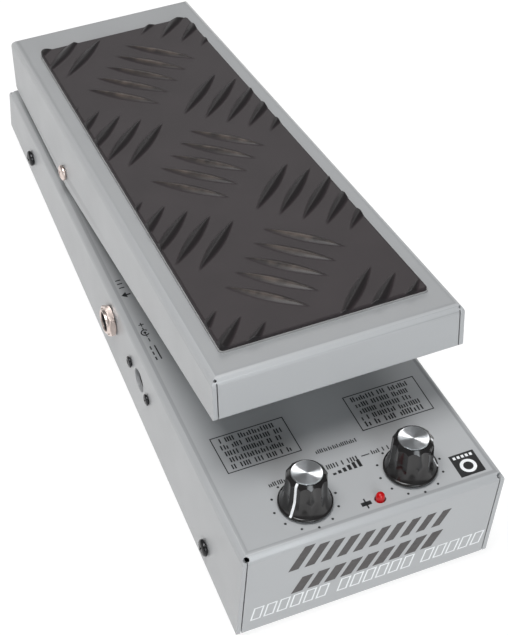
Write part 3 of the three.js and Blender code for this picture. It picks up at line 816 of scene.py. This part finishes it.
# ---- jacks ----
JACK_BORE = 3.25
JACK_BUSH = 4.6
JACK_BODY = (6.1, 7.2, 23.0)   # half height, half length and depth behind the wall
WALL_GAP = 1.8                 # from the wall's outer face to what is behind the sheet
JACK_PROUD = 3.2


def build_jacks():
    """Quarter-inch sockets: a plastic body, a threaded bush with a bore lined in black plastic as painted shade,
    and a hexagonal nut.
    """
    for name, side in (("input", -1), ("output", 1)):
        place = wall_place(side) @ middle_of(f"{name}_jack", wall_place(side))
        # Painted shade: a black sleeve in the bore stands in for the dark the metal bore would show.
        bore_shade = turned(f"{name}_jack_bore_shade", [
            (JACK_BORE, -20), (JACK_BORE + 0.3, -20), (JACK_BORE + 0.3, JACK_PROUD - 0.5),
            (JACK_BORE, JACK_PROUD - 0.5)])
        finish_piece(bore_shade, place, "base", PLASTIC)
        bush = turned(f"{name}_jack_bush", [
            (JACK_BORE + 0.35, -20), (JACK_BUSH + 0.6, -20), (JACK_BUSH + 0.6, -WALL_GAP - 0.2),
            (JACK_BUSH, -WALL_GAP),
            *thread(JACK_BUSH, 0.22, 0.7, -WALL_GAP + 0.2, JACK_PROUD - 0.5),
            (JACK_BUSH - 0.35, JACK_PROUD), (JACK_BORE + 0.55, JACK_PROUD),
            (JACK_BORE + 0.35, JACK_PROUD - 0.3)])
        half_height, half_length, depth = JACK_BODY
        body = prism(f"{name}_jack_case", rounded([
            (-half_length, -half_height, 1), (half_length, -half_height, 1),
            (half_length, half_height, 1), (-half_length, half_height, 1)], 5), -depth, -WALL_GAP)
        cut(body, bored("bore", JACK_BUSH + 0.65, -20.5, 0))
        soften(body, 0.2)
        finish_piece(body, place, "base", PLASTIC, (f"{name}_jack",))
        finish_piece(bush, place, "base", NICKEL)
        hex_nut(f"{name}_jack_nut", wall_axis(side), JACK_BUSH + 0.25, turn=0)


def thread(radius, depth, pitch, low, high):
    """Ring grooves that read as a screw thread."""
    profile = []
    height = low
    while height + pitch <= high:
        profile += [(radius - depth, height), (radius, height + pitch * 0.45),
                    (radius, height + pitch * 0.55)]
        height += pitch
    return profile + [(radius - depth, height)]


# ---- knobs ----
KNOB_TOP = 14.4
KNOB_SEAT = 0.9
KNOB_SKIRT = 8.75
KNOB_GRIP = 6.9                # over the ridges, above the flare
KNOB_CROWN = 6.6               # over the ridges, at the top
KNOB_FLARE = 7.6               # height where the flare runs out
CHAMFER_LOW = 12.9             # the sloping ring round the cap starts here
CHAMFER_IN = 5.25              # its inner radius
FLUTES = 12
FLUTE_DEPTH = 0.55
CAP_RADIUS = 4.95
CAP_RISE = 0.2
POINTER = {"left": -147, "right": -25}      # degrees round the knob from the deck's x
KNOB_SIDES = 216


def flute(angle, start):
    """How far into a flute a direction round the grip is, from 0 on a ridge to 1 in the middle."""
    return abs(math.sin(FLUTES * (angle - start) / 2)) ** 0.9


def knob_radius(height, depth):
    """Outer radius of the knob at a height, with its flutes cut to a share of their depth."""
    if height < 2.0:
        return KNOB_SKIRT - 0.5 * max(0, (height - 1.5) / 0.5) ** 2
    if height < KNOB_FLARE:
        t = (height - 2.0) / (KNOB_FLARE - 2.0)
        radius = KNOB_GRIP + (KNOB_SKIRT - 0.5 - KNOB_GRIP) * (1 - t) ** 2.2
    else:
        t = (height - KNOB_FLARE) / (KNOB_TOP - KNOB_FLARE)
        radius = KNOB_GRIP + (KNOB_CROWN - KNOB_GRIP) * t
    fade = max(0, min(1, (height - 3.2) / 4.2))
    radius -= FLUTE_DEPTH * depth * fade * fade * (3 - 2 * fade)
    chamfer = CHAMFER_IN + (KNOB_CROWN + 0.05 - CHAMFER_IN) * (KNOB_TOP - height) / (KNOB_TOP - CHAMFER_LOW)
    return min(radius, chamfer)


def knob_heights():
    """Heights of the rings that draw the knob's outer surface."""
    heights = [1.15, 1.5, 1.65, 1.8, 1.92, 2.0]
    heights += [2.0 + (KNOB_FLARE - 2.0) * step / 14 for step in range(1, 15)]
    heights += [KNOB_FLARE + (CHAMFER_LOW - KNOB_FLARE) * step / 6 for step in range(1, 7)]
    heights += [CHAMFER_LOW + (KNOB_TOP - CHAMFER_LOW) * step / 20 for step in range(1, 21)]
    return heights


def build_knob(side_name):
    """A black moulded knob with a flared skirt, twelve flutes and a recess for its cap."""
    point = math.radians(POINTER[side_name])
    recess = CAP_RADIUS + 0.12
    plain = [(3.0, 4.6), (7.4, 3.2), (7.6, KNOB_SEAT), (KNOB_SKIRT - 0.25, KNOB_SEAT), (KNOB_SKIRT, 1.12)]
    inner = [(recess, KNOB_TOP), (recess, KNOB_TOP - 1.1)]
    levels = [(height, radius) for radius, height in plain]
    levels += [(height, None) for height in knob_heights()]
    levels += [(height, radius) for radius, height in inner]
    points = []
    index = []
    for height, fixed in levels:
        index.append(list(range(len(points), len(points) + KNOB_SIDES)))
        for step in range(KNOB_SIDES):
            angle = 2 * math.pi * step / KNOB_SIDES
            r = fixed or knob_radius(height, flute(angle, point + math.pi / FLUTES))
            points.append((r * math.cos(angle), r * math.sin(angle), height))
    faces = []
    for lower, upper in zip(index, index[1:]):
        for step in range(KNOB_SIDES):
            following = (step + 1) % KNOB_SIDES
            faces.append((lower[step], lower[following], upper[following], upper[step]))
    faces += [tuple(index[0][::-1]), tuple(index[-1])]
    knob = from_lists(f"knob_{side_name}_body", points, faces)
    place = DECK @ Matrix.Translation(((-1 if side_name == "left" else 1) * KNOB_X, KNOB_ALONG, 0))
    body = f"knob_{side_name}"
    finish_piece(knob, place, body, KNOB, (f"knob_{side_name}",), smooth=24)
    build_pointer(side_name, point, place, body)
    cap = turned(f"knob_{side_name}_disc", [
        (0, -1.0), (CAP_RADIUS - 0.2, -1.0), (CAP_RADIUS, -0.8), (CAP_RADIUS, CAP_RISE - 0.12),
        (CAP_RADIUS - 0.12, CAP_RISE), (CAP_RADIUS - 0.3, CAP_RISE), (CAP_RADIUS - 0.45, CAP_RISE - 0.05),
        (CAP_RADIUS * 0.5, CAP_RISE - 0.1), (0, CAP_RISE - 0.12)], 96)
    finish_piece(cap, place @ Matrix.Translation((0, 0, KNOB_TOP)), body, CAP,
                 (f"knob_cap_{side_name}",))


def build_pointer(side_name, point, place, body):
    """The white line inlaid from the cap down the grip and the skirt."""
    half = 0.42
    proud = 0.05
    depth = 0.25
    heights = [height for height in knob_heights() if height > 1.6]
    upper = []
    lower = []
    for height in heights:
        slope = knob_radius(height + 0.02, 1) - knob_radius(height - 0.02, 1)
        out = Vector((0.04, -slope)).normalized()
        radius = knob_radius(height, flute(point, point + math.pi / FLUTES))
        upper.append((radius + out.x * proud, height + out.y * proud))
        lower.append((radius - out.x * depth, height - out.y * depth))
    outline = upper + lower[::-1]
    line = prism(f"knob_{side_name}_pointer", outline, -half, half, "xzy")
    finish_piece(line, place @ Matrix.Rotation(point, 4, "Z"), body, WHITE_INK, smooth=40)


# ---- rubber feet, bumpers, bushes and the light ----
def build_rubber():
    """Feet with a chamfered tread and a screw recess, and ribbed bumpers."""
    for side_name, _ in SIDES:
        for end in ENDS:
            node = f"rubber_foot_{side_name}_{end}"
            place, radius, length = axis_frame(node, (0, 0, -1))
            foot = turned(f"{node}_pad", [
                (1.9, 0), (radius - 0.5, 0), (radius, 0.4), (radius - 0.1, 0.9), (radius - 0.8, length - 0.5),
                (radius - 1.2, length), (radius - 2.0, length), (radius - 2.2, length - 0.2),
                (4.2, length - 0.2), (3.9, length - 0.1), (3.6, length - 0.4), (3.6, 1.1), (1.9, 1.1)])
            finish_piece(foot, place, "base", RUBBER, (node,))
            node = f"{end}_bumper_{side_name}"
            place, radius, length = axis_frame(node, DECK_NORMAL)
            profile = [(0, 0), (radius - 0.3, 0), (radius, 0.3), (radius, 2.6), (radius - 0.4, 3.0)]
            ribs = 4
            for rib in range(ribs):
                t = rib / ribs
                wide = radius * (0.95 - 0.22 * t)
                height = 3.2 + (length - 4.8) * t
                pitch = (length - 4.8) / ribs
                profile += [(wide - 0.5, height), (wide, height + pitch * 0.3), (wide, height + pitch * 0.7)]
            profile += [(radius * 0.70, length - 1.4), (radius * 0.6, length - 0.2),
                        (radius * 0.5, length), (0, length)]
            bumper = turned(f"{node}_rubber", profile)
            finish_piece(bumper, place, "base", RUBBER, (node,))


def build_light():
    """The indicator's domed red lens."""
    place, radius, length = axis_frame("indicator_light", DECK_NORMAL)
    profile = [(0, 0), (radius, 0), (radius, length - 1.5)]
    steps = 8
    for step in range(1, steps + 1):
        angle = math.pi / 2 * step / steps
        profile.append((radius * math.cos(angle), length - 1.5 + 1.5 * math.sin(angle)))
    profile[-1] = (0, length)
    lens = turned("indicator_lens", profile)
    finish_piece(lens, place, "base", LENS, ("indicator_light",), smooth=50)


# ---- printed marks: thin closed solids of generic shapes, no lettering ----
INK_LOW = -0.03
INK_HIGH = 0.03
SCALE_RADIUS = 10.4            # the ring of dots round a knob
SCALE_DOT = 0.42
PANEL_LINE = 0.35
ABOVE_BADGE = 0.02             # the badge's white marks stand this far above its black field
BAR_SLANT = 0.42
OUTLINE_PITCH = 4.55           # from one outlined block to the next


def bar_mark(x0, y0, x1, y1, slant=0.0):
    """A filled bar; slant leans its upper edge to the right."""
    outline = [(x0, y0), (x1, y0), (x1 + slant, y1), (x0 + slant, y1)]
    return prism("mark", outline, INK_LOW, INK_HIGH)


def ring_mark(x, y, outer, inner, start=0.0, end=360.0, steps=40):
    """A ring or part of one."""
    angles = [math.radians(start + (end - start) * k / steps) for k in range(steps + 1)]
    if end - start < 359:
        outline = [(x + outer * math.cos(a), y + outer * math.sin(a)) for a in angles]
        outline += [(x + inner * math.cos(a), y + inner * math.sin(a)) for a in reversed(angles)]
        return prism("mark", outline, INK_LOW, INK_HIGH)
    disc = turned("mark", [(inner, INK_LOW), (outer, INK_LOW), (outer, INK_HIGH), (inner, INK_HIGH)], steps)
    return move(disc, Matrix.Translation((x, y, 0)))


def dot_mark(x, y, radius, steps=20):
    """A filled dot."""
    angles = [2 * math.pi * k / steps for k in range(steps)]
    outline = [(x + radius * math.cos(a), y + radius * math.sin(a)) for a in angles]
    return prism("mark", outline, INK_LOW, INK_HIGH)


def frame_marks(x0, y0, x1, y1, line):
    """Four thin bars round a box."""
    return [bar_mark(x0, y0, x1, y0 + line), bar_mark(x0, y1 - line, x1, y1),
            bar_mark(x0, y0 + line, x0 + line, y1 - line), bar_mark(x1 - line, y0 + line, x1, y1 - line)]


def tally(x0, y0, x1, height, chance):
    """A run of small upright strokes of uneven height, from x0 to x1: a stand-in for small print."""
    marks = []
    x = x0
    stroke = height * 0.24
    while x + stroke < x1:
        tall = chance.choice((1.0, 1.0, 1.0, 0.72))
        marks.append(bar_mark(x, y0, x + stroke, y0 + height * tall))
        x += stroke + height * chance.choice((0.16, 0.2, 0.3))
        if chance.random() < 0.14:
            x += height * 0.55
    return marks


def build_deck_print():
    """Dots round the knobs, two framed panels of tallies, small symbols."""
    chance = random.Random(7)
    marks = []
    for _, side in SIDES:
        for turn in range(-240, 61, 30):
            angle = math.radians(turn)
            marks.append(dot_mark(side * KNOB_X + SCALE_RADIUS * math.cos(angle),
                                  KNOB_ALONG + SCALE_RADIUS * math.sin(angle), SCALE_DOT))
    for x0, x1, titled in ((-35.6, -10.1, False), (11.3, 37.1, True)):
        y0, y1 = 33.6, 49.3
        marks += frame_marks(x0, y0, x1, y1, PANEL_LINE)
        rows = [(y0 + 1.2 + 2.85 * k, 2.0) for k in range(5)]
        for row, (y, tall) in enumerate(rows):
            if titled and row == 0:
                tall = 2.3
            ends = chance.uniform(0.8, 3.2)
            marks += tally(x0 + 1.6 + ends * 0.4, y, x1 - 1.2 - ends, tall, chance)
    # A level ramp and its baseline between the knobs.
    for k in range(6):
        marks.append(bar_mark(-5.2 + 1.8 * k, 20.4, -4.1 + 1.8 * k, 21.2 + 0.45 * k))
    marks += tally(-6.0, 23.2, 5.6, 1.9, chance)
    marks += tally(-25.8, 23.6, -18.6, 1.7, chance)
    marks += tally(9.8, 23.6, 18.2, 1.7, chance)
    marks.append(bar_mark(6.2, 24.0, 9.0, 24.4))
    marks += tally(-6.5, 30.4, 8.0, 1.6, chance)
    # A small symbol beside the light: a short thick bar crossed by a thin one.
    marks += [bar_mark(-2.5, 5.4, 0.9, 6.9), bar_mark(-1.1, 4.1, -0.6, 8.2)]
    # Socket marks beside the left wall: an arrow, a centre-positive polarity sign and a direct-current sign.
    marks.append(prism("mark", [(-38.2, 121.5), (-36.3, 120.1), (-36.3, 122.9)], INK_LOW, INK_HIGH))
    marks += [bar_mark(-36.4, 121.2, -34.9, 121.8)]
    marks += [turn_mark(mark, -37.6, 129.4) for mark in tally(0, 0, 4.6, 1.9, chance)]
    marks += [bar_mark(-37.2, 105.0, -36.8, 106.8), bar_mark(-37.9, 105.7, -36.1, 106.1)]
    marks += [ring_mark(-37.1, 101.9, 1.5, 1.05, 35, 325), dot_mark(-37.1, 101.9, 0.5)]
    marks += [bar_mark(-37.3, 103.2, -36.9, 104.4), bar_mark(-37.25, 99.6, -36.95, 101.5)]
    marks += [bar_mark(-37.2, 97.4, -36.8, 99.0)]
    marks += [bar_mark(-36.6, 88.4, -36.1, 95.2)]
    marks += [bar_mark(-38.2, 88.4 + 2.6 * k, -37.7, 90.0 + 2.6 * k) for k in range(3)]
    marks += [prism("mark", [(38.4, 123.5), (36.4, 124.8), (36.4, 122.2)], INK_LOW, INK_HIGH),
              bar_mark(34.6, 123.2, 36.5, 123.8)]
    finish_piece(merged("deck_print", marks), DECK, "base", INK)
    # The square badge: a black field with a plain white ring and a row of dashes.
    badge = bar_mark(31.4, 4.0, 40.1, 13.2)
    badge.name = "badge_field"
    finish_piece(badge, DECK, "base", INK)
    symbol = [ring_mark(35.75, 7.7, 2.75, 1.65)]
    symbol += [bar_mark(32.4 + 1.45 * k, 11.3, 33.3 + 1.45 * k, 12.4) for k in range(5)]
    raised = [move(mark, Matrix.Translation((0, 0, ABOVE_BADGE))) for mark in symbol]
    finish_piece(merged("badge_symbol", raised), DECK, "base", WHITE_INK)


def turn_mark(mark, x, y):
    """Turns a mark so that its row runs along the deck towards the toe, and puts it in place."""
    return move(mark, Matrix.Translation((x, y, 0)) @ Matrix.Rotation(-math.pi / 2, 4, "Z"))


def front_place():
    """The frame of the front face: x across, y up, z out of the face."""
    return local_frame(Vector((0, CHASSIS_LOW.y, CHASSIS_LOW.z)), (0, 0, 1), (0, -1, 0))


def build_front_print():
    """Two rows of slanted dark bars and a row of outlined slanted blocks."""
    marks = []
    count = 10
    for k in range(count):
        t = k / (count - 1)
        x = -29.0 + 5.55 * k
        low = 27.6 - 2.4 * t
        high = 39.2 - 6.2 * t ** 0.7
        marks.append(bar_mark(x, low, x + 3.5 - 0.5 * t, high, BAR_SLANT * (high - low)))
    for k in range(9):
        x = -27.0 + 5.7 * k
        marks.append(bar_mark(x, 13.9, x + 3.9, 21.9, BAR_SLANT * 8))
    finish_piece(merged("front_bars", marks), front_place(), "base", GREY_INK)
    outlines = []
    for start, blocks in ((-40.6, 6), (-10.4, 6), (19.6, 5)):
        for k in range(blocks):
            outlines += outlined(start + OUTLINE_PITCH * k, 5.7, 3.6, 6.9, 0.55, 1.1)
    finish_piece(merged("front_outlines", outlines), front_place(), "base", WHITE_INK)


def outlined(x, y, wide, tall, line, slant):
    """A hollow slanted block drawn with a thin line."""
    per = slant / tall
    low = x + per * line
    high = x + per * (tall - line)
    upright = per * (tall - 2 * line)
    return [bar_mark(x, y, x + wide, y + line, per * line),
            bar_mark(high, y + tall - line, high + wide, y + tall, per * line),
            bar_mark(low, y + line, low + line, y + tall - line, upright),
            bar_mark(low + wide - line, y + line, low + wide, y + tall - line, upright)]


# ---- CAD nodes that keep their shape and get a finish ----
KEPT = {
    "bottom_plate": PLATE, "pivot_bracket": PLATE, "magnet_arm": PLATE, "sensor_bracket": PLATE,
    "battery_clip": PLATE, "battery": BATTERY, "battery_snap": PLASTIC, "power_socket": PLASTIC,
    "main_board": BOARD, "control_board": BOARD, "sensor_board": BOARD, "magnet": MAGNET,
}
KEPT_IN_PAIRS = {"pivot_bush": NYLON, "potentiometer": MAGNET, "pot_shaft": NYLON}
KEPT_IN_FOURS = {"standoff": NICKEL}


def dress_nodes():
    """Gives each shown CAD node its procedural finish."""
    finishes = dict(KEPT)
    for side_name, _ in SIDES:
        for stem, material in KEPT_IN_PAIRS.items():
            finishes[f"{stem}_{side_name}"] = material
        for end in ENDS:
            for stem, material in KEPT_IN_FOURS.items():
                finishes[f"{stem}_{side_name}_{end}"] = material
    for node, material in finishes.items():
        mesh = NODES[node].data
        mesh.materials.clear()
        mesh.materials.append(material)


# ---- stage ----
def build_floor():
    """A wide pale floor."""
    floor = from_lists("floor", [(-4, -4, 0), (4, -4, 0), (4, 4, 0), (-4, 4, 0)], [(0, 1, 2, 3)])
    made, _, _, shader, _ = node_material("pale_floor", (0.25, 0.25, 0.25), 0.9)
    put(shader, {"Emission Color": (1, 1, 1, 1), "Emission Strength": 0.82, "Specular IOR Level": 0.0})
    floor.data.materials.append(made)


FILL_TINT = (0.9, 0.96, 1.0)
# Name, place and size in metres, and power in watts.
LAMPS = (("key", (-0.26, -0.05, 1.2), 0.6, 11.2),
         ("fill", (-0.1, -1.3, 0.8), 0.6, 7.4),
         ("back", (0.3, 0.9, 0.6), 0.6, 1.6),
         ("front_spot", (-0.12, -0.8, 0.3), 0.1, 0.2),
         ("side_spot", (0.22, -0.8, 0.4), 0.1, 0.15))


def build_light_rig():
    """Soft studio light: a broad lamp overhead, a fill from the toe end, and small glints on the knobs."""
    world = bpy.data.worlds.new("studio")
    bpy.context.scene.world = world
    world.use_nodes = True
    nodes = world.node_tree.nodes
    links = world.node_tree.links
    background = nodes["Background"]
    place = nodes.new("ShaderNodeTexCoord").outputs["Generated"]
    split = nodes.new("ShaderNodeSeparateXYZ")
    links.new(place, split.inputs["Vector"])
    strength = spread(nodes, links, split.outputs["X"], 0.15, 0.13, 0.35, 0.75)
    links.new(strength, background.inputs["Strength"])
    put(background, {"Color": (0.98, 0.99, 1.0, 1)})
    target = Vector((0, 0, 0.05))
    for name, at, size, power in LAMPS:
        data = bpy.data.lights.new(name, "AREA")
        data.shape = "SQUARE"
        data.size = size
        data.energy = power
        data.color = FILL_TINT if name == "fill" else (1, 1, 1)
        lamp = bpy.data.objects.new(name, data)
        bpy.context.scene.collection.objects.link(lamp)
        lamp.location = at
        lamp.rotation_euler = (target - Vector(at)).to_track_quat("-Z", "Y").to_euler()
    bpy.context.scene.view_settings.view_transform = "Standard"


CAMERA_AT = (-186.67, -392.55, 518.52)
CAMERA_FORWARD = (0.2947, 0.57607, -0.76242)
CAMERA_ROLL = -4.93            # degrees
CAMERA_LENS = 105.44           # for a 36 mm long side


def build_camera():
    """The camera, high over the toe end's left corner."""
    data = bpy.data.cameras.new("camera")
    data.sensor_width = 36
    data.sensor_fit = "AUTO"
    data.lens = CAMERA_LENS
    data.clip_start = 0.01
    camera = bpy.data.objects.new("camera", data)
    bpy.context.scene.collection.objects.link(camera)
    forward = Vector(CAMERA_FORWARD).normalized()
    right = forward.cross(Vector((0, 0, 1))).normalized()
    up = right.cross(forward)
    roll = math.radians(CAMERA_ROLL)
    up_rolled = up * math.cos(roll) + right * math.sin(roll)
    right_rolled = forward.cross(up_rolled)
    turn = Matrix((right_rolled, up_rolled, -forward)).transposed().to_4x4()
    camera.matrix_world = Matrix.Translation(Vector(CAMERA_AT) * MM) @ turn
    bpy.context.scene.camera = camera


build_camera()
build_floor()
build_light_rig()
build_chassis()
build_treadle()
build_mat()
build_fasteners()
build_jacks()
for knob_side, _ in SIDES:
    build_knob(knob_side)
build_rubber()
build_light()
build_deck_print()
build_front_print()
dress_nodes()
